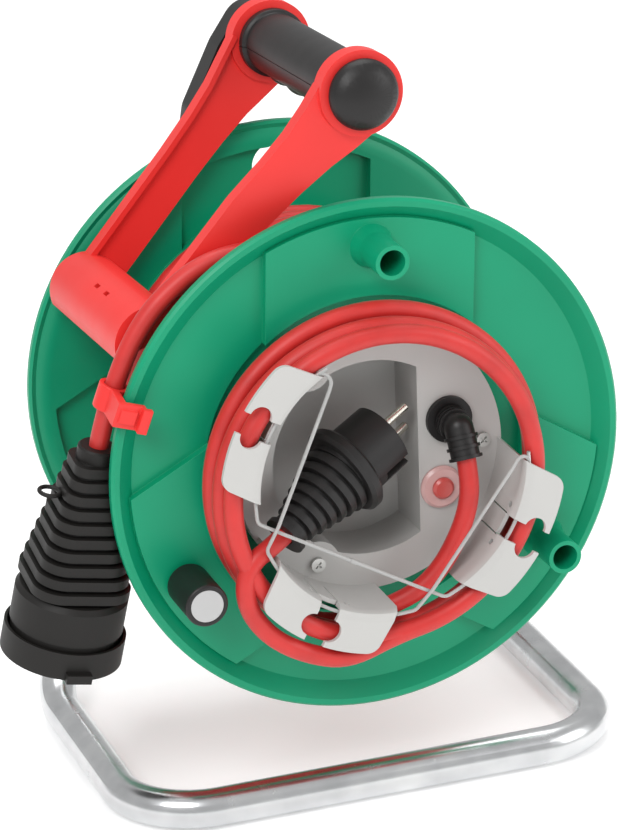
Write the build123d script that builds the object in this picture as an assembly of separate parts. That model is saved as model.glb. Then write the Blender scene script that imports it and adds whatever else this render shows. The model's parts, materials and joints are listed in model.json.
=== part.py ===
"""Extension cord reel: a green cable drum on a tube stand, with a swinging cable guide on the grip.

Millimetres. X runs to the right, Y runs back along the drum's axle, Z runs up from the floor.
The axle is above X = 0, and places along it are given as depths behind the front flange's rim.
"""
from build123d import *
from math import cos, pi, radians, sin, tan
import os

os.makedirs("parts", exist_ok=True)

# ---------------------------------------------------------------- driving dimensions
# drum
drum_radius = 145.0
axle_height = 197.0
rim_spacing = 164.2        # from the front rim to the rear rim
front_rim_y = -83.75
web = 3.0                  # thickness of the flange mouldings
recess_radius = 91.0       # the round recess that the plug holder stands in
recess_depth = 12.0
rear_floor = rim_spacing - recess_depth
core_radius = 60.0
core_bore = 57.8
core_start = recess_depth + web + 0.05     # the core's sleeve butts against the flange
core_floor = 58.0
rib_front = 100.0
post_circle = 46.0         # of the posts that join the two halves of the core
post_angles = (30, 150, 270)
post_radius = 6.0
screw_head = 4.0
screw_seat = rear_floor - 12
window_radius = 13.0       # of the three round holes through the rear flange
dish_depth = 7.0           # of the sectors between the three pads
pad_depth = 2.0
pad_half_width = 59.0
pad_reach = 134.0
boss_circle = 119.0
boss_angles = (87.5, -32.5, 207.5)
boss_radius = 9.5
boss_bore = 7.0
boss_reach = 30.0          # in front of the rim
knob_boss_reach = 26.0     # the third boss carries the crank knob
hub_radius = 15.0
hub_front = 75.0           # the hub and its bush start here, inside the core
axle_radius = 6.0
# cables
cable = 10.7
winding_radius = 102.0
coil_drop = 3.5            # the feed coil hangs this far below the axle
coil_inner = 82.0
coil_outer = 97.5
tail_depth = 16.0          # the free end passes this far behind the front rim
band = 1.0                 # radius of the elastic band
# plug holder
holder_radius = 76.0
holder_wall = 2.5
pocket_radius = 55.3
pocket_edge = 28.0         # the pocket stops here, left of the gland and the reset button
pocket_depth = 34.0
holder_screw_circle = 65.0
holder_screw_angles = (0.5, 120.5, -119.5)
claw_angles = (150.5, -30.5, -120.5)
claw_reach = 40.0
claw_outer = 97.5
claw_half_angle = 32.0
claw_tip_half_angle = 22.0
# stand
tube_radius = 10.7
leg_spacing = 279.5        # centre to centre of the two floor legs
front_bar_depth = -6.7
upright_depth = 188.0
bend_radius = 44.0
upright_lean = 32.0
upright_top = 168.0
# grip and cable guide
grip_x = 2.0
grip_height = 391.0        # of the grip's axis where it meets the pivot of the tilt
grip_pivot_depth = 150.0
grip_tilt = 3.5            # the grip rises towards the front
grip_radius = 17.0
cap_radius = 19.0
guide_arm = 170.5
guide_angle = -131.9       # the hanging arms, from +X
guide_bar_radius = 20.5
# coupling
coupling_length = 124.5
coupling_radius = 31.0
# fastenings
screw_hole = 1.7
screw_clear = 2.2
bush_radius = 8.5


# ---------------------------------------------------------------- helpers
def along(depth):
    """Y of a point that lies `depth` behind the front rim."""
    return front_rim_y + depth


def polar(radius, angle, depth=0.0):
    """A point by its radius and angle about the axle and its depth."""
    a = radians(angle)
    return Vector(radius * cos(a), along(depth), axle_height + radius * sin(a))


def front_plane(x=0.0, depth=0.0, z=axle_height):
    """A sketch plane facing the front: its x is X and its y is Z."""
    return Plane(origin=(x, along(depth), z), x_dir=(1, 0, 0), z_dir=(0, -1, 0))


def slab(sketch, start, end, x=0.0, z=axle_height):
    """A sketch about (x, z), made solid between two depths."""
    return extrude(front_plane(x, end, z) * sketch, end - start)


def rod(start, end, radius, x=0.0, z=axle_height):
    """A round bar along Y between two depths."""
    return slab(Circle(radius), start, end, x, z)


def ring(start, end, radius, bore, x=0.0, z=axle_height):
    """A tube along Y between two depths."""
    return rod(start, end, radius, x, z) - rod(start - 1, end + 1, bore, x, z)


def turned(points, x=0.0, z=axle_height):
    """A solid turned about a Y axis from (radius, depth) corners."""
    corners = [(x + radius, along(depth), z) for radius, depth in points]
    outline = Polyline(*corners, close=True)
    return revolve(make_face(outline), Axis((x, 0, z), (0, 1, 0)), 360)


def bar_between(start, end, radius):
    """A straight round bar between two points."""
    run = Vector(*end) - Vector(*start)
    return extrude(Plane(origin=start, z_dir=run) * Circle(radius), run.length)


def bent_path(points, radius=None):
    """Straight runs joined by tangent arcs, as large as the shorter run allows or as given."""
    radii = []
    for before, corner, after in zip(points, points[1:], points[2:]):
        run_in = Vector(*corner) - Vector(*before)
        run_out = Vector(*after) - Vector(*corner)
        turn = radians(run_in.get_angle(run_out))
        radii.append(radius or 0.45 * min(run_in.length, run_out.length) / tan(turn / 2))
    return FilletPolyline(*points, radius=radii), radii


def round_bar(path, radius):
    """A round section carried along a path."""
    return sweep(Plane(origin=path @ 0, z_dir=path % 0) * Circle(radius), path=path)


def cable_run(name, points):
    """A cable through hand-placed points: prints its length, tightest bend and volume check."""
    path, radii = bent_path(points)
    solid = round_bar(path, cable / 2)
    expected = pi * (cable / 2) ** 2 * path.length
    print(
        f"{name}: length {path.length:.0f} mm, tightest bend {min(radii):.0f} mm,"
        f" volume {solid.volume / expected:.4f} of section times length"
    )
    return solid


def save(name, solid):
    export_step(solid, f"parts/{name}.step")


# ---------------------------------------------------------------- drum flanges and core
def pad_sketch(angle, half_width, inner, outer):
    """A parallel-sided pad centred on a boss, between two radii."""
    strip = Rot(0, 0, angle) * Pos(outer / 2, 0) * Rectangle(outer, 2 * half_width)
    return strip & (Circle(outer) - Circle(inner))


def flange():
    """Rim, dished web, three flat pads and the round recess, as one shell."""
    rim = drum_radius
    shell = turned([
        (core_bore, recess_depth + web),
        (recess_radius + web, recess_depth + web),
        (recess_radius + web, dish_depth + web),
        (pad_reach - 1, dish_depth + web),
        (rim - 4, 5.5),
        (rim - 1.5, 6.5),
        (rim, 5.0),
        (rim, 1.5),
        (rim - 1.5, 0),
        (rim - 4.5, 0),
        (pad_reach - 2, dish_depth),
        (recess_radius, dish_depth),
        (recess_radius, recess_depth),
        (core_bore, recess_depth),
    ])
    for angle in boss_angles:
        pad = pad_sketch(angle, pad_half_width, recess_radius, pad_reach)
        hollow = pad_sketch(angle, pad_half_width - web, recess_radius + web, pad_reach - web)
        shell += slab(pad, pad_depth, dish_depth + web / 2)
        shell -= slab(hollow, pad_depth + web, dish_depth + 2 * web)
    return shell


def screw_posts(start, end, bore):
    """Three posts inside the core that its two halves are screwed together through."""
    posts = Part()
    for angle in post_angles:
        place = polar(post_circle, angle)
        posts += ring(start, end, post_radius, bore, place.X, place.Z)
        rib = Rot(0, 0, angle) * Pos(post_circle + 8, 0) * Rectangle(9, web)
        posts += slab(rib, start, end)
    return posts


def drum_front():
    body = flange()
    for number, angle in enumerate(boss_angles):
        foot = polar(boss_circle, angle)
        reach = boss_reach if number < 2 else knob_boss_reach
        body += rod(-reach, pad_depth + 1, boss_radius, foot.X, foot.Z)
        if number < 2:
            cone = [(0, -8), (boss_radius, -8), (12.5, pad_depth + 1), (0, pad_depth + 1)]
            body += turned(cone, foot.X, foot.Z)
            body -= rod(-boss_reach - 1, pad_depth, boss_bore, foot.X, foot.Z)
        else:
            body -= rod(-boss_reach - 1, -4, screw_hole, foot.X, foot.Z)
    for angle in holder_screw_angles:
        foot = polar(holder_screw_circle, angle)
        body += ring(holder_wall + 0.2, recess_depth + 1, 5, screw_hole, foot.X, foot.Z)
    return body


def core_front():
    """The sleeve behind the front flange, closed by a floor that carries the terminals."""
    body = ring(core_start, rim_spacing / 2, core_radius, core_bore)
    body += rod(core_floor, core_floor + web, core_bore + 1)
    body += screw_posts(core_floor + 2, rim_spacing / 2, screw_hole)
    inside, outside = polar(core_radius - 8, 60, 48), polar(core_radius + 8, 60, 48)
    body -= bar_between(inside, outside, cable / 2 + 0.65)
    return body


def core_rear():
    """The sleeve before the rear flange, with the hub's front part on six ribs."""
    end = rim_spacing - core_start
    body = ring(rim_spacing / 2, end, core_radius, core_bore)
    body += rod(hub_front, end, hub_radius)
    for angle in range(0, 360, 60):
        rib = Rot(0, 0, angle) * Pos(core_bore / 2, 0) * Rectangle(core_bore + 1, web)
        body += slab(rib, rib_front, end)
    body += screw_posts(rim_spacing / 2 + 0.05, end, screw_clear)
    for angle in post_angles:
        place = polar(post_circle, angle)
        body -= rod(rib_front - 10, end + 1, screw_clear, place.X, place.Z)
        body -= rod(screw_seat, end + 1, screw_head + 0.3, place.X, place.Z)
    body -= rod(hub_front - 5, end + 1, bush_radius)
    return body


def drum_rear():
    middle = Plane(origin=(0, along(rim_spacing / 2), 0), z_dir=(0, 1, 0))
    body = mirror(flange(), about=middle)
    for angle in boss_angles:
        place = polar(boss_circle, angle)
        body -= rod(rim_spacing - 20, rim_spacing + 20, window_radius, place.X, place.Z)
    body += rod(rear_floor - web, rear_floor, core_bore + 1)
    body += rod(rear_floor - web, rim_spacing, hub_radius)
    for angle in post_angles:
        place = polar(post_circle, angle)
        body -= rod(rear_floor - 2 * web, rear_floor + 1, screw_head + 0.3, place.X, place.Z)
    body -= rod(hub_front - 5, rim_spacing + 1, bush_radius)
    return body


def pan_head_screw(x, z, head_depth, length, head=4.0):
    """A pan-head screw with a cross recess, its head's front face at the given depth."""
    body = rod(head_depth, head_depth + 2.4, head, x, z)
    body += rod(head_depth + 2, head_depth + length, screw_hole - 0.05, x, z)
    for turn in (45, 135):
        slot = Rot(0, 0, turn) * Rectangle(4.4, 0.9)
        body -= slab(slot, head_depth - 1, head_depth + 1.4, x, z)
    return body


save("drum_front", drum_front())
save("core_front", core_front())
save("core_rear", core_rear())
save("drum_rear", drum_rear())

drum_screws = Part()
for angle in post_angles:
    place = polar(post_circle, angle)
    screw = rod(screw_seat, screw_seat + 3, screw_head, place.X, place.Z)
    screw += rod(core_floor + 6, screw_seat + 2.5, screw_hole - 0.05, place.X, place.Z)
    drum_screws += screw
save("drum_screws", drum_screws)

save("hub_bush", ring(hub_front, rim_spacing, bush_radius - 0.05, axle_radius + 0.05))

# the wound cable: one closed ring of its outer shape
winding_front = recess_depth + web + 0.3
winding_rear = rim_spacing - winding_front
save("main_winding", ring(winding_front, winding_rear, winding_radius, core_radius + 0.3))


# ---------------------------------------------------------------- plug holder with its claws
def pocket_sketch(margin=0.0):
    """The plug's pocket: a circle cut off on the right, and kept clear of the screws."""
    pocket = Circle(pocket_radius + margin)
    pocket -= Pos(pocket_edge + margin + 50, 0) * Rectangle(100, 200)
    for angle in holder_screw_angles[1:]:
        a = radians(angle)
        centre = Pos(holder_screw_circle * cos(a), holder_screw_circle * sin(a))
        pocket -= centre * Circle(13 - margin)
    return pocket


def sector(inner, outer, inner_half, outer_half, angle):
    """A claw's outline: a ring sector that narrows outwards, its outer corners rounded."""
    def at(radius, offset):
        a = radians(angle + offset)
        return (radius * cos(a), radius * sin(a))

    edges = [
        ThreePointArc(at(inner, -inner_half), at(inner, 0), at(inner, inner_half)),
        Line(at(inner, inner_half), at(outer, outer_half)),
        ThreePointArc(at(outer, outer_half), at(outer, 0), at(outer, -outer_half)),
        Line(at(outer, -outer_half), at(inner, -inner_half)),
    ]
    face = make_face(edges)
    far_corners = face.vertices().sort_by_distance((0, 0))[-2:]
    return fillet(far_corners, 8)


def claw(angle):
    """An axial wall that turns outwards into a plate, with a keyhole notch and a sprung tongue."""
    inner = holder_radius - holder_wall
    bend = 6.0
    profile = [
        (inner, 0), (inner, -claw_reach + bend),
        (inner + 0.3 * bend, -claw_reach + 0.3 * bend),
        (inner + bend, -claw_reach), (claw_outer + 5, -claw_reach),
        (claw_outer + 5, -claw_reach + holder_wall),
        (holder_radius + 1, -claw_reach + holder_wall),
        (holder_radius, -claw_reach + holder_wall + 1), (holder_radius, 0),
    ]
    outline = sector(inner - 2, claw_outer, claw_half_angle, claw_tip_half_angle, angle)
    body = turned(profile) & slab(outline, -claw_reach - 1, 1)
    tangent = Rot(0, 0, angle)
    mouth = tangent * Pos(holder_radius + 12, 0) * Rectangle(40, 12)
    pocket = tangent * Pos(88, 0) * Rot(0, 0, 90) * SlotOverall(24, 12.5)
    body -= slab(mouth, -claw_reach - 1, -claw_reach + 10)
    body -= slab(pocket, -claw_reach - 1, -claw_reach + 4)
    for side in (-1, 1):
        slit = tangent * Pos(holder_radius - 1, side * 6.4) * Rectangle(8, 0.8)
        body -= slab(slit, -claw_reach + 9, -8)
        out = polar(holder_radius - 6, angle + side * 9, -claw_reach + 9)
        into = polar(holder_radius + 5, angle + side * 9, -claw_reach + 9)
        body -= bar_between(out, into, 1.8)
    return body


gland_place = (45.4, axle_height + 15.5)
button_place = (40.5, axle_height - 23.2)

holder = rod(0, holder_wall, holder_radius)
holder += ring(holder_wall - 0.5, recess_depth - 0.3, holder_radius, holder_radius - holder_wall)
holder += slab(pocket_sketch(2.2), holder_wall - 0.5, pocket_depth + 2.2)
holder -= slab(pocket_sketch(), -1, pocket_depth)
for angle in holder_screw_angles:
    place = polar(holder_screw_circle, angle)
    holder -= rod(-1, holder_wall + 1, screw_clear, place.X, place.Z)
holder -= rod(-1, holder_wall + 1, 8.2, *gland_place)
holder -= rod(-1, holder_wall + 1, 8.2, *button_place)
for angle in claw_angles:
    holder += claw(angle)
save("plug_holder", holder)

holder_screws = Part()
for angle in holder_screw_angles:
    place = polar(holder_screw_circle, angle)
    holder_screws += pan_head_screw(place.X, place.Z, -2.4, 12)
save("holder_screws", holder_screws)

# ---------------------------------------------------------------- gland, cut-out, terminals
gland_bend = Vector(gland_place[0], along(-16), gland_place[1])
gland_end = Vector(46.6, along(-23), axle_height - 0.5)
gland_run = gland_end - gland_bend
gland = rod(-3, -0.05, 13, *gland_place)
gland += rod(-16, 14, 8.0, *gland_place)
gland += Pos(*gland_bend) * Sphere(8.0)
gland += extrude(Plane(origin=gland_bend, z_dir=gland_run) * Circle(8.0), gland_run.length)
for step in (-5.5, -8.5, -11.5):
    gland += rod(step - 0.9, step + 0.9, 9.2, *gland_place)
for share in (0.3, 0.62, 0.94):
    collar = Plane(origin=gland_bend + gland_run * share, z_dir=gland_run)
    gland += extrude(collar * Circle(9.2), 0.9, both=True)
lead_start = gland_end - gland_run.normalized() * 8
gland -= bar_between(lead_start, gland_end + gland_run.normalized(), cable / 2 + 0.1)
save("cable_gland", gland)
save("gland_nut", slab(
    RegularPolygon(11.0, 6) - Circle(8.1), holder_wall + 0.1, 8.5, *gland_place,
))

cutout = rod(-0.2, 30, 7.9, *button_place) + slab(Rectangle(13, 17), 6, 28, *button_place)
cutout -= rod(-1, 8, 6.4, *button_place)
for side in (-1, 1):
    cutout += slab(Pos(side * 4, 0) * Rectangle(0.8, 6.3), 27, 36, *button_place)
save("thermal_cutout", cutout)
save("cutout_bezel", turned(
    [(6.08, -2.8), (10.5, -2.8), (12, -1.4), (12, -0.05), (8.3, -0.05), (8.3, -0.3), (6.08, -0.3)],
    *button_place,
))
save("reset_button", turned(
    [(0, -5.4), (4.6, -5.4), (6, -4.2), (6, 3.2), (0, 3.2)], *button_place,
))

terminals = slab(Rectangle(44, 20), 40, 54)
for column in range(4):
    terminals -= rod(39, 47, 2.4, -16.5 + 11 * column, axle_height + 4)
    terminals -= rod(39, 47, 2.4, -16.5 + 11 * column, axle_height - 4)
save("terminal_block", terminals)

# ---------------------------------------------------------------- feed cable
coil_axis = axle_height - coil_drop
coil_front = -claw_reach + holder_wall + 0.4
coil_rear = -3.0
save("feed_coil", turned(
    [
        (coil_inner, coil_front + 4), (coil_inner + 4, coil_front),
        (coil_outer - 4, coil_front), (coil_outer, coil_front + 4),
        (coil_outer, coil_rear - 4), (coil_outer - 4, coil_rear),
        (coil_inner + 4, coil_rear), (coil_inner, coil_rear - 4),
    ],
    z=coil_axis,
))

feed_lead = cable_run("feed_lead", [
    tuple(lead_start + gland_run.normalized() * 0.2),
    tuple(gland_end + gland_run.normalized() * 9),
    (45.6, along(-27.2), axle_height - 26),
    (39.0, along(-26.5), axle_height - 44),
    (28.0, along(-25.5), axle_height - 62),
    (14.0, along(-24.3), axle_height - 75.5),
])
save("feed_lead", feed_lead)


# ---------------------------------------------------------------- plug
def turned_up(points, plane):
    """A solid turned about a plane's normal from (radius, height) corners."""
    outline = Polyline(*[(radius, 0, height) for radius, height in points], close=True)
    return plane * revolve(make_face(outline), Axis.Z, 360)


plug_tip = Vector(23.8, along(6), axle_height + 18.8)
plug_middle = Vector(-17.0, along(-8), axle_height - 1.0)
plug_tail = Vector(-58.5, along(-25), axle_height - 26.5)
pin_length = 19.0
pin_spacing = 19.0
pin_root = 12.0            # of each pin inside the plug
head_run = plug_tip - plug_middle
head_length = head_run.length - pin_length
pin_direction = Vector(0.19, 0.56, -0.81)
square_on = head_run.cross(pin_direction).cross(head_run)
head_plane = Plane(origin=plug_middle, z_dir=head_run, x_dir=square_on)
tail_run = plug_tail - plug_middle
tail_plane = Plane(origin=plug_middle, z_dir=tail_run)

plug = turned_up(
    [
        (0, -4), (24, -4), (26, -2), (26, 2), (24, 4), (20, 4.5),
        (19.5, head_length), (0, head_length),
    ],
    head_plane,
)
rib_count = 7
rib_pitch = (tail_run.length - 8) / rib_count
boot_profile = [(0, -2), (20, -2), (20, 5)]
for number in range(rib_count):
    start = 5 + number * rib_pitch
    outer = 20.5 - 10.5 * number / (rib_count - 1)
    boot_profile += [(outer - 2, start), (outer - 2, start + 2)]
    boot_profile += [(outer, start + 2), (outer, start + rib_pitch)]
boot_profile += [(12, tail_run.length - 3), (12, tail_run.length), (0, tail_run.length)]
plug += turned_up(boot_profile, tail_plane)
bore_start = plug_tail - tail_run.normalized() * 8
plug -= bar_between(bore_start, plug_tail + tail_run.normalized(), cable / 2 + 0.1)
for side in (-1, 1):
    plug -= head_plane * (Pos(0, side * 19, head_length - 8) * Box(7, 6, 17))
    pin_hole = Pos(side * pin_spacing / 2, 0, head_length - pin_root / 2) * Cylinder(2.5, pin_root)
    plug -= head_plane * pin_hole
plug -= head_plane * (Pos(0, 10, head_length - 7) * Cylinder(2.6, 15))
save("plug_body", plug)

pins = Part()
for side in (-1, 1):
    upright_pin = Cylinder(2.4, pin_length + pin_root - 0.2)
    upright_pin = chamfer(upright_pin.edges().sort_by(Axis.Z)[-1], 1.0)
    middle = head_length - pin_root + 0.2 + (pin_length + pin_root - 0.2) / 2
    pins += head_plane * (Pos(side * pin_spacing / 2, 0, middle) * upright_pin)
save("plug_pins", pins)

earth_clips = Part()
for side in (-1, 1):
    earth_clips += head_plane * (Pos(0, side * 16.6, head_length - 7.9) * Box(4, 0.8, 15.5))
save("plug_earth_clips", earth_clips)

# the cable leaves the plug through the gap between two claws
tail_way = tail_run.normalized()
save("plug_lead", bar_between(plug_tail - tail_way * 7.6, plug_tail + tail_way * 9, cable / 2))

# ---------------------------------------------------------------- elastic band
band_ring = holder_radius + band + 0.3
band_depth = -claw_reach + holder_wall + band + 0.3
wrap_corners = 3           # of the polygon drawn round a claw, each rounded to the wall's curve
corner_step = 2 * (claw_half_angle + 1.8) / wrap_corners
edge_step = corner_step / 2 + 4.5      # where the band leaves the wall, past the last corner


def band_wrap(angle, way):
    """Corners, with their radii, that carry the band round the back of one claw."""
    outer = band_ring / cos(radians(corner_step / 2))
    half = corner_step * (wrap_corners - 1) / 2
    corners = [(polar(band_ring + 0.2, angle - way * (half + edge_step), band_depth), 5.0)]
    for number in range(wrap_corners):
        place = angle + way * (number * corner_step - half)
        corners.append((polar(outer, place, band_depth), band_ring - 3))
    corners.append((polar(band_ring + 0.2, angle + way * (half + edge_step), band_depth), 5.0))
    return corners


def band_span(before, after, bulge):
    """Two corners of the run between two claws, pushed forward away from its ends."""
    start, end = before[-1][0], after[0][0]
    forward = Vector(0, -bulge, 0)
    return [
        (start + (end - start) * 0.14 + forward, 15.0),
        (end + (start - end) * 0.14 + forward, 15.0),
    ]


upper, right, lower = claw_angles
around_upper = band_wrap(upper, 1)
around_right = band_wrap(right, 1)
around_lower = band_wrap(lower, -1)
over_plug = band_span(around_upper, around_right, 0.9)
over_lead = band_span(around_right, around_lower, 3.3)
closing = band_span(around_lower, around_upper, 3.3)
corners = over_plug[1:] + around_right + over_lead + around_lower + closing + around_upper
corners += over_plug[:1]
seam = (over_plug[0][0] + over_plug[1][0]) / 2
seam_way = (over_plug[1][0] - over_plug[0][0]).normalized()
band_route = [seam + seam_way * 0.2] + [place for place, _ in corners] + [seam - seam_way * 0.2]
band_path = FilletPolyline(*band_route, radius=[radius for _, radius in corners])
elastic = round_bar(band_path, band)
elastic += bar_between(seam - seam_way * 2, seam + seam_way * 2, band + 0.3)
save("retaining_band", elastic)

# ---------------------------------------------------------------- crank knob
knob_foot = polar(boss_circle, boss_angles[2])
knob_place = (knob_foot.X, knob_foot.Z)
knob_radius = 11.8
knob_front = -34.0
knob_bore = boss_radius + 0.08
badge_radius = 9.0
head_radius = 3.6
head_seat = -29.0          # the knob turns under the screw's head
save("crank_knob", turned(
    [
        (knob_bore, -1.0), (knob_radius, -1.0), (knob_radius, knob_front + 1),
        (knob_radius - 1, knob_front), (badge_radius + 0.1, knob_front),
        (badge_radius + 0.1, knob_front + 1.4), (head_radius + 0.4, knob_front + 1.4),
        (head_radius + 0.4, head_seat), (screw_clear, head_seat),
        (screw_clear, -knob_boss_reach - 0.4), (knob_bore, -knob_boss_reach - 0.4),
    ],
    *knob_place,
))
save("knob_badge", rod(knob_front + 0.2, knob_front + 1.35, badge_radius, *knob_place))
knob_screw = rod(head_seat - 2.9, head_seat - 0.2, head_radius, *knob_place)
knob_screw += rod(head_seat - 1, -10, screw_hole - 0.05, *knob_place)
save("knob_screw", knob_screw)

# ---------------------------------------------------------------- tube stand
tube_wall = 1.5
bolt_height = 140.0
bolt_radius = 3.0
leg = leg_spacing / 2


def upright_point(height, side):
    """A point on an upright's centreline."""
    lean = tan(radians(upright_lean)) * (height - tube_radius)
    return Vector(side * (leg - lean), along(upright_depth), height)


stand_path, _ = bent_path(
    [
        tuple(upright_point(upright_top, -1)),
        (-leg, along(upright_depth), tube_radius),
        (-leg, along(front_bar_depth), tube_radius),
        (leg, along(front_bar_depth), tube_radius),
        (leg, along(upright_depth), tube_radius),
        tuple(upright_point(upright_top, 1)),
    ],
    bend_radius,
)
frame = round_bar(stand_path, tube_radius) - round_bar(stand_path, tube_radius - tube_wall)
for side in (-1, 1):
    bolt = upright_point(bolt_height, side)
    frame -= rod(upright_depth - 20, upright_depth + 20, bolt_radius + 0.1, bolt.X, bolt.Z)
save("frame_tube", frame)

# ---------------------------------------------------------------- rear bracket and axle
plate_front = 172.0
plate_rear = 188.0
barrel_radius = 16.0
barrel_foot = 112.0        # heights of the two barrels' ends
barrel_top = 173.0
grip_boss = 15.0           # radius of the boss that the grip stands on
arm_lobes = [              # x, height and radius of the rounds that the arm passes through
    (0.0, axle_height, 34.0),
    (-15.0, axle_height + 53, 22.0),
    (-30.0, axle_height + 103, 17.0),
    (-25.0, axle_height + 148, 14.0),
    (-9.0, axle_height + 181, 13.5),
    (grip_x, grip_height, grip_boss),
]


def lobe(x, height, radius):
    return Pos(x, height - axle_height) * Circle(radius)


def link(first, second):
    """The outline drawn tight round two rounds."""
    return make_hull(lobe(*first).edges() + lobe(*second).edges())


bracket = Part()
for first, second in zip(arm_lobes, arm_lobes[1:]):
    bracket += slab(link(first, second), plate_front, plate_rear)
bracket += rod(plate_front - 6, plate_rear, grip_boss, grip_x, grip_height)
for side in (-1, 1):
    foot = upright_point(barrel_foot, side)
    top = upright_point(barrel_top, side)
    shoulder = (top.X, top.Z - 6, barrel_radius - 1)
    elbow = upright_point(bolt_height, side)
    bracket += slab(link(arm_lobes[0], shoulder), plate_front, plate_rear)
    bracket += slab(link(shoulder, (elbow.X, elbow.Z, barrel_radius - 1)), plate_front, plate_rear)
    bracket += bar_between(foot, top, barrel_radius)
for side in (-1, 1):
    below = upright_point(barrel_foot - 8, side)
    bracket -= bar_between(below, upright_point(upright_top + 0.2, side), tube_radius + 0.05)
    bolt = upright_point(bolt_height, side)
    bracket -= rod(plate_front + 2, plate_rear + 30, bolt_radius + 0.05, bolt.X, bolt.Z)
bracket -= rod(plate_front - 1, plate_rear + 1, axle_radius + 0.05)

grip_place = (grip_x, grip_height)
rod_radius = 5.0
pivot = (grip_x, along(grip_pivot_depth), grip_height)
tilt = Pos(*pivot) * Rot(-grip_tilt, 0, 0) * Pos(-pivot[0], -pivot[1], -pivot[2])
bracket -= tilt * rod(plate_front - 10, plate_rear + 6, rod_radius + 0.05, *grip_place)
bracket -= tilt * rod(plate_front - 20, plate_front - 3, 30, *grip_place)
save("rear_bracket", bracket)

bolts = Part()
bolt_seat = upright_depth + barrel_radius
for side in (-1, 1):
    bolt = upright_point(bolt_height, side)
    bolts += rod(plate_front + 3, bolt_seat + 1, bolt_radius, bolt.X, bolt.Z)
    bolts += slab(RegularPolygon(5.5, 6), bolt_seat + 0.05, bolt_seat + 3.5, bolt.X, bolt.Z)
save("tube_bolts", bolts)

axle_fit = axle_radius + 0.05
save("axle", rod(66, plate_rear + 11, axle_radius) + slab(RegularPolygon(10, 6), 64, 71.9))
save("axle_washer", ring(72.1, hub_front - 0.2, 12, axle_fit))
save("axle_spacer", ring(rim_spacing + 0.2, plate_front - 0.1, 12, axle_fit))
save("axle_nut", slab(
    RegularPolygon(10.5, 6) - Circle(axle_fit), plate_rear + 0.2, plate_rear + 9,
))

# ---------------------------------------------------------------- grip
# drawn level, then tilted with everything that hangs on it
journal = 15.5             # the guide's eyes turn on two necks of this radius
near_neck = (0.4, 12.2)
far_neck = (146.2, 158.2)
grip_shape = turned(
    [
        (rod_radius + 0.1, near_neck[0]), (journal, near_neck[0]), (journal, near_neck[1]),
        (grip_radius, near_neck[1] + 1), (grip_radius, 139), (grip_radius + 2, 140.5),
        (grip_radius + 2, far_neck[0] - 0.5), (grip_radius + 1, far_neck[0]),
        (journal, far_neck[0]), (journal, far_neck[1]), (grip_radius + 2, far_neck[1]),
        (grip_radius + 2, 167.5), (rod_radius + 0.1, 167.5),
    ],
    *grip_place,
)
for depth in (34, 62, 90, 118):
    finger = Pos(grip_x, along(depth), grip_height - 7) * Sphere(12.5)
    grip_shape += finger - rod(0, 160, journal - 1, *grip_place)
level = grip_height
for name, side in (("grip_upper", 1), ("grip_lower", -1)):
    half_space = Pos(grip_x, along(80), level + side * 50.03) * Box(100, 240, 100)
    save(name, tilt * (grip_shape & half_space))
save("grip_rod", tilt * rod(-3.4, plate_rear + 4, rod_radius, *grip_place))
save("grip_cap", tilt * turned(
    [
        (0, -12), (7, -11.5), (13, -9.8), (17, -6.8), (cap_radius, -3.4), (cap_radius, -0.8),
        (cap_radius - 0.8, 0), (rod_radius + 0.05, 0), (rod_radius + 0.05, -3.5), (0, -3.5),
    ],
    *grip_place,
))

# ---------------------------------------------------------------- cable guide
guide_turn = radians(guide_angle)
arm_way = Vector(cos(guide_turn), 0, sin(guide_turn))
arm_outward = Vector(sin(guide_turn), 0, -cos(guide_turn))
bar_x = grip_x + guide_arm * arm_way.X
bar_z = grip_height + guide_arm * arm_way.Z
bar_wall = 3.5
bar_near = 30.5
bar_far = 155.2
arm_thickness = 6.0
arm_width = 25.0
arm_rib = 3.0
eye_bore = journal + 0.08
eye_radius = 23.0


def arm_section(distance, depth, width, thickness, offset=0.0):
    """A rectangle across the guide's arm, at a distance from the grip's axis."""
    centre = Vector(grip_x, along(depth), grip_height) + arm_way * distance
    plane = Plane(origin=centre + arm_outward * offset, z_dir=arm_way, x_dir=arm_outward)
    return plane * Rectangle(width, thickness)


def guide_arm_through(stations, rib_shift):
    """An arm through (distance, depth, width) stations with a rib along its outer edge."""
    body = Part()
    for first, second in zip(stations, stations[1:]):
        plates, ribs = [], []
        for distance, depth, width in (first, second):
            edge = (width - arm_rib) / 2
            plates.append(arm_section(distance, depth, width, arm_thickness))
            ribs.append(arm_section(
                distance, depth + rib_shift, arm_rib, arm_thickness + 2 * abs(rib_shift), edge,
            ))
        body += loft(plates, ruled=True)
        body += loft(ribs, ruled=True)
    return body


def trough(outer, inner):
    """The crossbar's section: a rounded shell, open on the side of the drum."""
    corners = [(0, 0)]
    for angle in (15, 60, 105, 150, 200):
        corners.append((60 * cos(radians(angle)), 60 * sin(radians(angle))))
    whole = Circle(outer) - Circle(inner) if inner else Circle(outer)
    return whole & make_face(Polyline(*corners, close=True))


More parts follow.
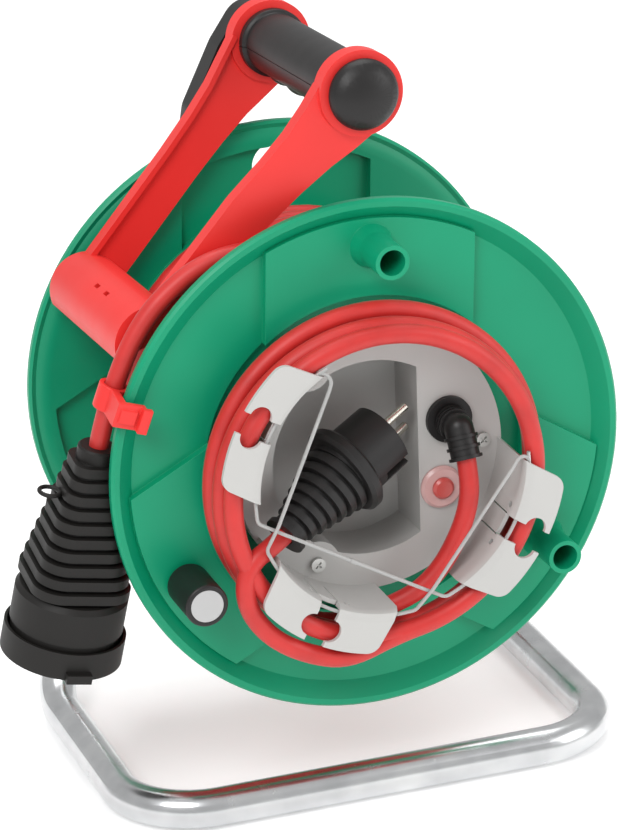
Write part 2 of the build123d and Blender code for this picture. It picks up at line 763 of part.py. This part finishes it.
shell = trough(guide_bar_radius, guide_bar_radius - bar_wall)
solid_end = trough(guide_bar_radius, 0)
guide = slab(shell, bar_near, bar_far, bar_x, bar_z)
guide += slab(solid_end, bar_near, bar_near + arm_thickness, bar_x, bar_z)
guide += slab(solid_end, bar_far - arm_thickness, bar_far, bar_x, bar_z)
near_middle = bar_near + arm_thickness / 2
far_middle = bar_far - arm_thickness / 2
near_arm = [(10, 6.3, 41), (24, 8.8, 36), (40, 14.0, 30), (60, 21.0, 26.5)]
near_arm += [(84, 29.0, arm_width), (guide_arm, near_middle, arm_width)]
far_arm = [(distance, far_middle, width) for distance, _, width in near_arm]
guide += guide_arm_through(near_arm, 2)
guide += guide_arm_through(far_arm, -2)
guide += rod(near_neck[0] + 0.2, near_neck[1] - 0.4, eye_radius, *grip_place)
guide += rod(far_neck[0] + 0.4, far_neck[1] - 0.4, eye_radius, *grip_place)
guide -= rod(-5, 200, eye_bore, *grip_place)
slot_turn = 120.0
for depth in (76, 93):
    slot_place = Pos(bar_x, along(depth), bar_z) * Rot(0, -slot_turn, 0)
    guide -= slot_place * Pos(guide_bar_radius, 0, 0) * Box(12, 6, 2.6)
save("cable_guide", tilt * guide)

# ---------------------------------------------------------------- free end of the cable, clip
coupling_top = Vector(-144.6, along(21.5), axle_height + 22.9)
coupling_end = Vector(-167.8, along(38.0), axle_height - 99.2)
coupling_way = (coupling_end - coupling_top).normalized()
clip_above = Vector(-132.6, along(tail_depth), axle_height + 65.0)
clip_below = coupling_top - coupling_way * 14
tail_points = [
    (8.0, along(tail_depth), axle_height + 109.5),
    (-22.0, along(tail_depth), axle_height + 114.5),
    (-54.0, along(tail_depth), axle_height + 121.5),
    (-84.0, along(tail_depth), axle_height + 118.0),
    (-108.0, along(tail_depth), axle_height + 102.0),
    (-122.5, along(tail_depth), axle_height + 85.0),
    tuple(clip_above),
    tuple(clip_below),
    tuple(coupling_top + coupling_way * 9),
]
save("cable_tail", cable_run("cable_tail", tail_points))

# the clip: drawn in its own plane, across the straight run of the tail that it holds
clip_point = (clip_above + clip_below) / 2
clip_radius = Vector(clip_point.X, 0, clip_point.Z - axle_height).length
clip_depth = clip_point.Y - front_rim_y
rim_outward = Vector(clip_point.X, 0, clip_point.Z - axle_height).normalized()
clip_plane = Plane(origin=clip_point, x_dir=rim_outward, z_dir=clip_below - clip_above)
clip_length = 14.0
clip_bore = cable / 2 + 0.2


def clip_block(inner, outer, front, rear, length=clip_length):
    """A block of the clip: between two radii about the axle and two depths."""
    place = Pos((inner + outer) / 2 - clip_radius, (front + rear) / 2 - clip_depth, 0)
    return clip_plane * (place * Box(outer - inner, rear - front, length))


clip = clip_plane * Cylinder(8.3, clip_length)
clip += clip_block(drum_radius + 0.7, 150.5, -6.5, 11)
clip += clip_block(136, 150.5, -6.5, -3)
clip += clip_block(132, 137.5, -10.5, -7)
clip += clip_block(135, 137.5, -10.5, -3)
clip += clip_block(139, 148.5, -8, -5.5, 8)
clip -= clip_plane * Cylinder(clip_bore, clip_length + 2)
save("cable_clip", clip)

# ---------------------------------------------------------------- coupling
coupling_plane = Plane(origin=coupling_top, z_dir=coupling_way, x_dir=(coupling_way.Z, 0, -coupling_way.X))
rib_zone = (8.0, 84.0)
band_end = 106.0
spigot_end = 121.0
spigot = coupling_radius - 1.2
socket_floor = 104.0
socket_radius = 20.2
hinge_out = 36.5           # the lid's hinge, from the coupling's axis
hinge_level = 104.0
knuckle = 3.6
knuckle_length = 12.0
ear_length = 5.0
pin_radius = 1.5


def up(points):
    """A solid turned about the coupling's axis from (radius, distance) corners."""
    return turned_up(points, coupling_plane)


def block_section(distance, width):
    """A rounded square across the coupling."""
    face = RectangleRounded(width, width, width * 0.28)
    return coupling_plane * (Pos(0, 0, distance) * face)


def hinge_cylinder(radius, length, offset=0.0):
    """A cylinder on the lid's hinge line."""
    place = Pos(offset, hinge_out, hinge_level) * Rot(0, 90, 0)
    return coupling_plane * (place * Cylinder(radius, length))


coupling = up([(0, 0), (10, 0), (11, 1), (11, rib_zone[0]), (0, rib_zone[0])])
coupling += loft([block_section(rib_zone[0] - 1, 20), block_section(rib_zone[1] + 2, 49)], ruled=True)
coupling_ribs = 10
rib_step = (rib_zone[1] - rib_zone[0]) / coupling_ribs
for number in range(coupling_ribs):
    width = 27 + 28 * number / (coupling_ribs - 1)
    start = rib_zone[0] + number * rib_step
    coupling += extrude(block_section(start, width), rib_step - 2.2)
coupling += up([
    (0, 84), (coupling_radius - 2, 84), (coupling_radius, 87), (coupling_radius, band_end),
    (spigot, band_end + 0.5), (spigot, spigot_end), (0, spigot_end),
])
coupling -= up([(0, 84), (socket_radius, 84), (socket_radius, 130), (0, 130)])
for side in (-1, 1):
    coupling -= coupling_plane * (Pos(0, side * 20.9, 112) * Box(6.2, 2.0, 14.2))
coupling -= up([(0, -1), (cable / 2 + 0.1, -1), (cable / 2 + 0.1, 10), (0, 10)])
coupling += coupling_plane * (Pos(22.5, 0, 28) * Torus(5.5, 1.2))
ear_place = (knuckle_length + 0.6 + ear_length) / 2
for side in (-1, 1):
    coupling += hinge_cylinder(knuckle, ear_length, side * ear_place)
    bridge = Pos(side * ear_place, hinge_out - 5, hinge_level - 2) * Box(ear_length, 8, 3.2)
    coupling += coupling_plane * bridge
coupling -= hinge_cylinder(pin_radius + 0.02, 40)
save("coupling_body", coupling)
save("lid_pin", hinge_cylinder(pin_radius, knuckle_length + 2 * ear_length))

lid_skirt = (31.8, 33.4)
lid = up([
    (lid_skirt[0], 109), (lid_skirt[1], 109), (lid_skirt[1], coupling_length),
    (0, coupling_length), (0, spigot_end + 0.4), (lid_skirt[0], spigot_end + 0.4),
])
lid += hinge_cylinder(knuckle, knuckle_length)
bridge = Pos(0, hinge_out - 1.6, hinge_level + 5.5) * Box(knuckle_length, 4.4, 9)
lid += coupling_plane * bridge
lid += coupling_plane * (Pos(0, -lid_skirt[1] - 1.5, coupling_length - 2.5) * Box(14, 5, 5))
lid -= hinge_cylinder(pin_radius + 0.05, 40)
save("coupling_lid", lid)

insert = up([
    (0, 84.2), (socket_radius - 0.1, 84.2), (socket_radius - 0.1, socket_floor), (0, socket_floor),
])
contacts = Part()
for side in (-1, 1):
    place = Pos(side * pin_spacing / 2, 0, 0)
    insert -= coupling_plane * (place * Pos(0, 0, 94) * Cylinder(4.05, 14))
    insert -= coupling_plane * (place * Pos(0, 0, 102) * Cylinder(2.6, 6))
    sleeve = Cylinder(4.0, 13.8) - Cylinder(2.45, 20)
    contacts += coupling_plane * (place * Pos(0, 0, 94) * sleeve)
save("coupling_socket", insert)
save("coupling_contacts", contacts)

clips = Part()
for side in (-1, 1):
    clips += coupling_plane * (Pos(0, side * 21.2, 112) * Box(6, 1.2, 14))
save("coupling_earth_clips", clips)
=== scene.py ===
"""Looks of the extension cord reel: cables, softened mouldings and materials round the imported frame.

Everything is in metres, in the frame's own axes: X right, Y back along the axle, Z up.
"""
import bmesh
import bpy
import json
import math
from mathutils import Matrix, Vector


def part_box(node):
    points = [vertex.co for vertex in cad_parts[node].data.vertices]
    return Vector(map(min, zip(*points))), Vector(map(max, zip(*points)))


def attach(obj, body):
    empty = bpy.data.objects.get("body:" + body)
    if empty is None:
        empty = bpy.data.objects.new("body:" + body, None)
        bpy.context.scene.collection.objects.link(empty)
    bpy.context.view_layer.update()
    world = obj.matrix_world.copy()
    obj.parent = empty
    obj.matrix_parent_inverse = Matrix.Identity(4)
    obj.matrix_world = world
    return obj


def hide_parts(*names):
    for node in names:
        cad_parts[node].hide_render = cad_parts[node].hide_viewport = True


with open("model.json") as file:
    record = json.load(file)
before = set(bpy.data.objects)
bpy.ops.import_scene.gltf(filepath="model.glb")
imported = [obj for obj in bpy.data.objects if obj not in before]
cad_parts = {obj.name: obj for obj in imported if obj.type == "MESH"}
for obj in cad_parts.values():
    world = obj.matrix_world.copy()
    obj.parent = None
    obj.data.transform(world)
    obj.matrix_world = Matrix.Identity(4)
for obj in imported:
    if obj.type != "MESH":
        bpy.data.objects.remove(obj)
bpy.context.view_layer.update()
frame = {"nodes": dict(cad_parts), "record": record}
nodes = frame["nodes"]

# ---------------------------------------------------------------- places taken from the frame
rear_low, rear_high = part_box("drum_rear")
winding_low, winding_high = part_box("main_winding")
rim_spacing = 0.1642       # over the outer faces of the drum's two rims
axle_height = (rear_low.z + rear_high.z) / 2
front_rim = rear_high.y - rim_spacing
cable = 0.0107             # the cable's diameter
cable_radius = cable / 2
half_cable = cable_radius * 1000       # the same in millimetres, which at() and polar() take


def at(x, depth, z):
    """A point from millimetres: across, behind the front rim, above the axle."""
    return Vector((x / 1000, front_rim + depth / 1000, axle_height + z / 1000))


def polar(radius, angle, depth):
    """A point from its radius and depth in millimetres and its angle in degrees."""
    turn = math.radians(angle)
    return at(radius * math.cos(turn), depth, radius * math.sin(turn))


# ---------------------------------------------------------------- camera
camera_azimuth = math.radians(-18.825)
camera_elevation = math.radians(20.904)
camera_roll = math.radians(-2.067)
camera_place = Vector((-0.69095, front_rim - 1.92800, axle_height + 0.80791))
camera_lens = 177.65


def add_camera():
    """A long lens that looks down at the reel's front from its left."""
    level = math.cos(camera_elevation)
    back = Vector((
        math.sin(camera_azimuth) * level,
        -math.cos(camera_azimuth) * level,
        math.sin(camera_elevation),
    ))
    right = Vector((math.cos(camera_azimuth), math.sin(camera_azimuth), 0))
    up = back.cross(right)
    tilt = Matrix.Rotation(camera_roll, 3, back)
    data = bpy.data.cameras.new("camera")
    data.lens = camera_lens
    data.sensor_width = 36
    data.clip_end = 50
    camera = bpy.data.objects.new("camera", data)
    rotation = Matrix((tilt @ right, tilt @ up, back)).transposed().to_4x4()
    camera.matrix_world = Matrix.Translation(camera_place) @ rotation
    bpy.context.scene.collection.objects.link(camera)
    bpy.context.scene.camera = camera


add_camera()


# ---------------------------------------------------------------- materials
class Nodes:
    """A material's node tree with the few shapes of node that the finishes here need."""

    def __init__(self, name):
        self.material = bpy.data.materials.new(name)
        self.material.use_nodes = True
        self.tree = self.material.node_tree
        self.shader = self.tree.nodes["Principled BSDF"]
        self.place = self.tree.nodes.new("ShaderNodeTexCoord").outputs["Object"]

    def link(self, output, target):
        self.tree.links.new(output, target)

    def noise(self, scale, detail=3.0, stretch=None):
        """Noise in object space; stretch squeezes it along the axes."""
        place = self.place
        if stretch:
            mapping = self.tree.nodes.new("ShaderNodeMapping")
            mapping.inputs["Scale"].default_value = stretch
            self.link(self.place, mapping.inputs["Vector"])
            place = mapping.outputs["Vector"]
        node = self.tree.nodes.new("ShaderNodeTexNoise")
        node.inputs["Scale"].default_value = scale
        node.inputs["Detail"].default_value = detail
        self.link(place, node.inputs["Vector"])
        return node.outputs["Fac"]

    def ramp(self, source, stops):
        """A colour ramp through (position, colour) stops."""
        node = self.tree.nodes.new("ShaderNodeValToRGB")
        elements = node.color_ramp.elements
        while len(elements) < len(stops):
            elements.new(0.5)
        for element, (position, colour) in zip(elements, stops):
            element.position = position
            element.color = (*colour, 1)
        self.link(source, node.inputs["Fac"])
        return node.outputs["Color"]

    def span(self, source, low, high):
        """A number's 0 to 1 carried to another range."""
        node = self.tree.nodes.new("ShaderNodeMapRange")
        node.inputs["To Min"].default_value = low
        node.inputs["To Max"].default_value = high
        self.link(source, node.inputs["Value"])
        return node.outputs["Result"]

    def bump(self, source, strength, distance, below=None):
        node = self.tree.nodes.new("ShaderNodeBump")
        node.inputs["Strength"].default_value = strength
        node.inputs["Distance"].default_value = distance
        self.link(source, node.inputs["Height"])
        if below:
            self.link(below, node.inputs["Normal"])
        return node.outputs["Normal"]


def tone(colour, factor):
    """A colour made lighter or darker."""
    return tuple(min(1.0, channel * factor) for channel in colour)


def moulded(name, colour, roughness, grain=2600, grain_strength=0.12, coat=0.0, spread=0.05, ior=1.42):
    """Injection-moulded plastic: slight colour drift, fine grain and uneven gloss."""
    n = Nodes(name)
    drift = n.noise(14, 2)
    n.link(
        n.ramp(drift, [(0.3, tone(colour, 1 - spread)), (0.7, tone(colour, 1 + spread))]),
        n.shader.inputs["Base Color"],
    )
    n.link(n.span(n.noise(60, 4), roughness - 0.05, roughness + 0.07), n.shader.inputs["Roughness"])
    flow = n.bump(n.noise(35, 1), 0.05, 0.0004)
    n.link(n.bump(n.noise(grain, 2), grain_strength, 0.00006, flow), n.shader.inputs["Normal"])
    n.shader.inputs["IOR"].default_value = ior
    n.shader.inputs["Coat Weight"].default_value = coat
    n.shader.inputs["Coat Roughness"].default_value = 0.25
    return n.material


def cable_sheath(name, colour):
    """Rubber cable sheath: matt, faintly ribbed by the cores inside, with handling marks."""
    n = Nodes(name)
    marks = n.noise(55, 5)
    n.link(
        n.ramp(marks, [(0.25, tone(colour, 0.86)), (0.55, colour), (0.8, tone(colour, 1.1))]),
        n.shader.inputs["Base Color"],
    )
    n.link(n.span(n.noise(120, 3), 0.38, 0.56), n.shader.inputs["Roughness"])
    swell = n.bump(n.noise(45, 1), 0.12, 0.0008)
    n.link(n.bump(n.noise(1500, 2), 0.12, 0.00008, swell), n.shader.inputs["Normal"])
    n.shader.inputs["Sheen Weight"].default_value = 0.06
    return n.material


def zinc_tube(name):
    """Galvanised and polished steel: fine draw lines, soft cloudy patches."""
    n = Nodes(name)
    clouds = n.noise(38, 4)
    n.link(
        n.ramp(clouds, [(0.25, (0.56, 0.57, 0.58)), (0.5, (0.66, 0.67, 0.68)), (0.75, (0.76, 0.77, 0.77))]),
        n.shader.inputs["Base Color"],
    )
    n.shader.inputs["Metallic"].default_value = 1.0
    n.link(n.span(n.noise(90, 4), 0.18, 0.32), n.shader.inputs["Roughness"])
    scratches = n.bump(n.noise(700, 4, (1, 0.12, 1)), 0.05, 0.00005)
    n.link(n.bump(n.noise(40, 2), 0.03, 0.0002, scratches), n.shader.inputs["Normal"])
    return n.material


def bright_metal(name, colour, roughness):
    """Plated metal: small changes of colour and gloss, and a very fine grain."""
    n = Nodes(name)
    n.link(
        n.ramp(n.noise(80, 3), [(0.3, tone(colour, 0.88)), (0.7, tone(colour, 1.05))]),
        n.shader.inputs["Base Color"],
    )
    n.shader.inputs["Metallic"].default_value = 1.0
    n.link(n.span(n.noise(160, 3), roughness - 0.06, roughness + 0.1), n.shader.inputs["Roughness"])
    n.link(n.bump(n.noise(900, 3), 0.06, 0.00006), n.shader.inputs["Normal"])
    return n.material


def translucent(name, colour, roughness, transmission):
    """Clear-ish soft plastic over something coloured."""
    n = Nodes(name)
    n.link(
        n.ramp(n.noise(40, 2), [(0.3, tone(colour, 0.94)), (0.7, tone(colour, 1.04))]),
        n.shader.inputs["Base Color"],
    )
    n.link(n.span(n.noise(90, 2), roughness - 0.04, roughness + 0.06), n.shader.inputs["Roughness"])
    n.link(n.bump(n.noise(300, 2), 0.06, 0.0001), n.shader.inputs["Normal"])
    n.shader.inputs["Transmission Weight"].default_value = transmission
    n.shader.inputs["IOR"].default_value = 1.45
    return n.material


cable_red = (0.56, 0.022, 0.019)
moulding_red = (0.76, 0.032, 0.028)
green = (0.002, 0.29, 0.145)
finishes = {
    "green_plastic": moulded("green_moulding", green, 0.38, coat=0.05, ior=1.36),
    "red_plastic": moulded("red_moulding", moulding_red, 0.40),
    "grey_plastic": moulded("light_grey_moulding", (0.49, 0.485, 0.47), 0.40, spread=0.02),
    "black_plastic": moulded(
        "black_moulding", (0.012, 0.011, 0.011), 0.42, grain=1800, grain_strength=0.3,
    ),
    "black_rubber": moulded(
        "black_rubber", (0.012, 0.011, 0.010), 0.50, grain=1400, grain_strength=0.3, ior=1.36,
    ),
    "red_cable": cable_sheath("red_cable_sheath", cable_red),
    "galvanised_tube": zinc_tube("galvanised_steel"),
    "zinc_steel": bright_metal("zinc_plated_steel", (0.62, 0.62, 0.60), 0.34),
    "nickel_brass": bright_metal("nickel_plated_brass", (0.78, 0.74, 0.66), 0.22),
    "bush_plastic": moulded("natural_plastic", (0.75, 0.74, 0.70), 0.5),
    "badge": moulded("badge_disc", (0.42, 0.42, 0.42), 0.3, coat=0.4),
    "reset_plastic": translucent("pink_clear_plastic", (0.80, 0.50, 0.48), 0.22, 0.25),
    "elastic": translucent("clear_elastic", (0.55, 0.55, 0.54), 0.32, 0.35),
}
button_red = moulded("reset_button_red", (0.55, 0.08, 0.07), 0.3, coat=0.4)
slot_of = {part["node"]: part["material_slot"] for part in frame["record"]["subparts"]}
body_of = {
    node: body
    for body, members in frame["record"]["behaviour"]["bodies"].items()
    for node in members
}


def finish_object(obj, material):
    obj.data.materials.clear()
    obj.data.materials.append(material)


# ---------------------------------------------------------------- cables
def cable_piece(name, points, body, resolution=6):
    """A round cable along a smooth curve with these control points."""
    data = bpy.data.curves.new(name, "CURVE")
    data.dimensions = "3D"
    data.bevel_depth = cable_radius
    data.bevel_resolution = 4
    data.resolution_u = resolution
    data.use_fill_caps = True
    spline = data.splines.new("NURBS")
    spline.points.add(len(points) - 1)
    for control, point in zip(spline.points, points):
        control.co = (*point, 1)
    spline.order_u = 3
    spline.use_endpoint_u = True
    piece = bpy.data.objects.new(name, data)
    bpy.context.scene.collection.objects.link(piece)
    finish_object(piece, finishes["red_cable"])
    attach(piece, body)
    return piece


def ring_point(centre, radius, angle, depth, steps):
    """A control point of a round turn, set out a little so that the curve itself has the radius."""
    swell = radius / math.cos(math.pi / steps)
    turn = math.radians(angle)
    return at(centre[0] + swell * math.cos(turn), depth, centre[1] + swell * math.sin(turn))


def mixed(first, second, share):
    return first + (second - first) * share


def eased(share):
    """A share from 0 to 1 with a soft start and a soft stop."""
    return share * share * (3 - 2 * share)


# the feed cable: out of the gland, three turns round the claws, into the parked plug
feed_exit = at(46.2, -20.4, 6.9)
gland_lead = [
    feed_exit,
    at(47.0, -26.9, -9.5),
    at(45.6, -27.2, -26),
    at(39.0, -26.5, -44),
    at(28.0, -25.5, -62),
    at(12.0, -22, -76),
]
feed_turns = [             # from the rear: the centre's x and z, radius, depth
    (-0.8, -1.0, 92.0, -9.0),
    (-3.0, -3.5, 88.5, -20.0),
    (-2.5, -5.0, 85.5, -31.0),
]
feed_steps = 20            # control points in each turn
feed_entry = -106          # degrees, where the first turn starts
claw_middles = (150.5, -30.5, -120.5)
claw_half = 33             # degrees each way from a claw's middle that the cable keeps clear
holder_radius = 76         # of the holder's wall, which carries the claws and which the turns go round
holder_gap = 0.5           # between the wall and the cable
claw_swell = 1.0125        # sets a control point out, so that the curve itself keeps clear
claw_clear = (holder_radius + half_cable + holder_gap) * claw_swell
plug_lead = [
    at(-27, -31.5, -101),
    at(-50, -32, -93.5),
    at(-69, -32, -81.5),
    at(-81.5, -32, -64.5),
    at(-84.5, -32, -47.5),
    at(-79.0, -31.5, -35.0),
    at(-67.5, -28.7, -30.0),
    at(-52.4, -22.5, -22.7),
]


def feed_turn(share):
    """The centre's x and z, radius and depth of the coil, this many turns from its start."""
    last = len(feed_turns) - 1
    lower = min(int(share), last)
    upper = min(lower + 1, last)
    blend = eased(share - lower)
    return [mixed(low, high, blend) for low, high in zip(feed_turns[lower], feed_turns[upper])]


def clear_of_claws(point, depth):
    """The point, moved out where the cable would run into the wall behind a claw."""
    across = point.x * 1000
    up = (point.z - axle_height) * 1000
    angle = math.degrees(math.atan2(up, across))
    near = any(abs((angle - middle + 180) % 360 - 180) < claw_half for middle in claw_middles)
    if near and math.hypot(across, up) < claw_clear:
        return polar(claw_clear, angle, depth)
    return point


def feed_coil():
    """The turns of the feed cable round the claws, from the rear one to the front one."""
    points = []
    for step in range(len(feed_turns) * feed_steps):
        share = step / feed_steps
        x, z, radius, depth = feed_turn(share)
        point = ring_point((x, z), radius, feed_entry - 360 * share, depth, feed_steps)
        points.append(clear_of_claws(point, depth))
    return points


feed_cable = cable_piece("feed_cable", gland_lead + feed_coil() + plug_lead, "drum")
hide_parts("feed_lead", "feed_coil", "plug_lead")

# the main cable on the drum: to and fro between the flanges, layer upon layer
core_radius = 60.3
outer_radius = 102.0       # of the full winding
side_gap = 5.5             # from the winding's side to the middle of its first turn
first_depth = (winding_low.y - front_rim) * 1000 + side_gap
last_depth = (winding_high.y - front_rim) * 1000 - side_gap
layer_count = 4
layer_turns = 11.5
layer_pitch = (outer_radius - core_radius - 2 * half_cable) / (layer_count - 1)
winding_steps = 18         # control points in each turn
winding_start = 60.0       # degrees
layer_points = int(layer_turns * winding_steps)
climb_steps = 6            # the cable climbs to the next layer over this many points
looseness = 0.9            # how far the last layer wanders off its even lay
wander_rates = (0.37, 0.113, 0.21)     # radians for each point, so that no turn repeats another
wander_out = 0.8           # shares of the looseness: in and out,
wander_sink = 0.6          # and pressed down all along
rise_steps = 21            # the last turn rises off its layer over this many points
rise_start = 97.0          # the last turn's radius at its start
rise_top = 110.2           # and at its end
rise_end = 77 + 360        # degrees; the tail, which doesn't turn, starts about 17 further on
rise_forward = 3.5         # that the last turn comes towards the front flange
rise_swell = 1.008         # sets its control points out, as ring_point() does


def winding_point(layer, step, angle):
    """A point of one layer: odd layers run back to the front, and the last one lies loosely."""
    share = step / layer_points
    backwards = layer % 2 == 1
    last_layer = layer == layer_count - 1
    climb = 0.0 if last_layer else max(0.0, 1 - (layer_points - step) / climb_steps)
    radius = core_radius + half_cable + (layer + climb) * layer_pitch
    depth = mixed(first_depth, last_depth, 1 - share if backwards else share)
    if last_layer:
        quick, slow, along = [math.sin(step * rate) for rate in wander_rates]
        radius += looseness * (wander_out * quick * slow - wander_sink)
        depth += looseness * along
    depth = min(max(depth, first_depth), last_depth)
    return ring_point((0, 0), radius, angle, depth, winding_steps)


def winding_rise(start_angle):
    """The last turn, which rises off its layer and comes forward towards the tail."""
    points = []
    for step in range(rise_steps):
        share = step / (rise_steps - 1)
        radius = mixed(rise_start, rise_top, share * share)
        angle = mixed(start_angle, rise_end, share)
        points.append(polar(radius * rise_swell, angle, first_depth - rise_forward * share))
    return points


def winding_route():
    """The main cable's control points, from the core outwards."""
    points = []
    angle = winding_start
    for layer in range(layer_count):
        for step in range(layer_points):
            points.append(winding_point(layer, step, angle))
            angle += 360 / winding_steps
    return points + winding_rise(angle % 360)


winding_points = winding_route()
wound_cable = cable_piece("wound_cable", winding_points, "drum", 3)
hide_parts("main_winding")

# the free tail: over the drum, through the clip, into the coupling
coupling_top = at(-144.6, 21.5, 22.9)
coupling_end = at(-167.8, 38.0, -99.2)
coupling_way = (coupling_end - coupling_top).normalized()
tail_above = 0.014         # from the last free point to the coupling's top
tail_inside = 0.009        # that the cable reaches into the coupling
tail_points = [
    at(8.0, 16, 109.5),
    at(-22.0, 16, 114.5),
    at(-54.0, 16, 121.5),
    at(-84.0, 16, 118.0),
    at(-108.0, 16, 102.0),
    at(-122.5, 16, 85.0),
    at(-132.6, 16, 65.0),
    coupling_top - coupling_way * tail_above,
    coupling_top + coupling_way * tail_inside,
]
tail_cable = cable_piece("tail_cable", tail_points, "stand", 10)
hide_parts("cable_tail")


# ---------------------------------------------------------------- softened mouldings
weld_distance = 2e-6
flat_angle = math.radians(0.4)         # faces that meet at less than this are one face
sharp_angle = math.radians(32)         # edges that turn more than this are rounded
edge_steps = 2


def softened(node, width):
    """A copy of a CAD node's mesh with its sharp edges rounded as a mould rounds them."""
    data = nodes[node].data.copy()
    piece = bpy.data.objects.new("soft_" + node, data)
    bpy.context.scene.collection.objects.link(piece)
    if data.has_custom_normals:
        data.normals_split_custom_set([(0, 0, 0)] * len(data.loops))
    mesh = bmesh.new()
    mesh.from_mesh(data)
    bmesh.ops.remove_doubles(mesh, verts=mesh.verts, dist=weld_distance)
    bmesh.ops.dissolve_limit(
        mesh, angle_limit=flat_angle, verts=mesh.verts, edges=mesh.edges,
        use_dissolve_boundaries=False,
    )
    mesh.to_mesh(data)
    mesh.free()
    bevel = piece.modifiers.new("rounded_edges", "BEVEL")
    bevel.width = width
    bevel.segments = edge_steps
    bevel.limit_method = "ANGLE"
    bevel.angle_limit = sharp_angle
    bevel.use_clamp_overlap = True
    bevel.harden_normals = False
    data.shade_smooth()
    smooth = piece.modifiers.new("even_normals", "WEIGHTED_NORMAL")
    smooth.keep_sharp = False
    finish_object(piece, finishes[slot_of[node]])
    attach(piece, body_of[node])
    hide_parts(node)
    return piece


edge_width = {
    "drum_front": 0.0008,
    "drum_rear": 0.0008,
    "plug_holder": 0.0006,
    "cable_guide": 0.0012,
    "cable_clip": 0.0006,
    "rear_bracket": 0.0015,
    "grip_upper": 0.0005,
    "grip_lower": 0.0005,
    "coupling_body": 0.0006,
    "coupling_lid": 0.0006,
    "plug_body": 0.0005,
    "cable_gland": 0.0004,
    "crank_knob": 0.0005,
    "grip_cap": 0.0008,
}
pieces = {node: softened(node, width) for node, width in edge_width.items()}

# the nodes that stay as the CAD made them
for node, obj in nodes.items():
    if not obj.hide_render:
        finish_object(obj, finishes[slot_of[node]])
finish_object(nodes["reset_button"], button_red)


# ---------------------------------------------------------------- floor and light
def add_floor(reach, drop):
    """A wide pale floor, a little below the tube so that the two don't touch."""
    mesh = bpy.data.meshes.new("floor")
    corners = [(x, y, 0) for x, y in ((-reach, -reach), (reach, -reach), (reach, reach), (-reach, reach))]
    mesh.from_pydata(corners, [], [(0, 1, 2, 3)])
    floor = bpy.data.objects.new("floor", mesh)
    floor.location.z = -drop
    bpy.context.scene.collection.objects.link(floor)
    n = Nodes("pale_floor")
    n.link(
        n.ramp(n.noise(3, 2), [(0.3, (0.86, 0.86, 0.86)), (0.7, (0.88, 0.88, 0.88))]),
        n.shader.inputs["Base Color"],
    )
    n.shader.inputs["Roughness"].default_value = 0.85
    n.shader.inputs["Emission Color"].default_value = (1, 1, 1, 1)
    n.shader.inputs["Emission Strength"].default_value = 0.3
    finish_object(floor, n.material)


def soft_box(name, place, size, power):
    """A square studio light that faces the drum's middle."""
    data = bpy.data.lights.new(name, "AREA")
    data.shape = "SQUARE"
    data.size = size
    data.energy = power
    lamp = bpy.data.objects.new(name, data)
    lamp.location = place
    way = Vector((0, 0, axle_height)) - Vector(place)
    lamp.rotation_euler = way.to_track_quat("-Z", "Y").to_euler()
    bpy.context.scene.collection.objects.link(lamp)


add_floor(reach=6.0, drop=0.0005)
soft_box("key_light", place=(-1.3, -1.5, 2.0), size=1.2, power=36)
soft_box("fill_light", place=(1.7, -1.2, 1.1), size=1.4, power=16)
soft_box("top_light", place=(0.2, 0.5, 2.3), size=1.6, power=22)
world = bpy.data.worlds.new("studio")
world.use_nodes = True
background = world.node_tree.nodes["Background"]
background.inputs["Color"].default_value = (1, 1, 1, 1)
background.inputs["Strength"].default_value = 0.56
bpy.context.scene.world = world
bpy.context.scene.view_settings.view_transform = "Standard"
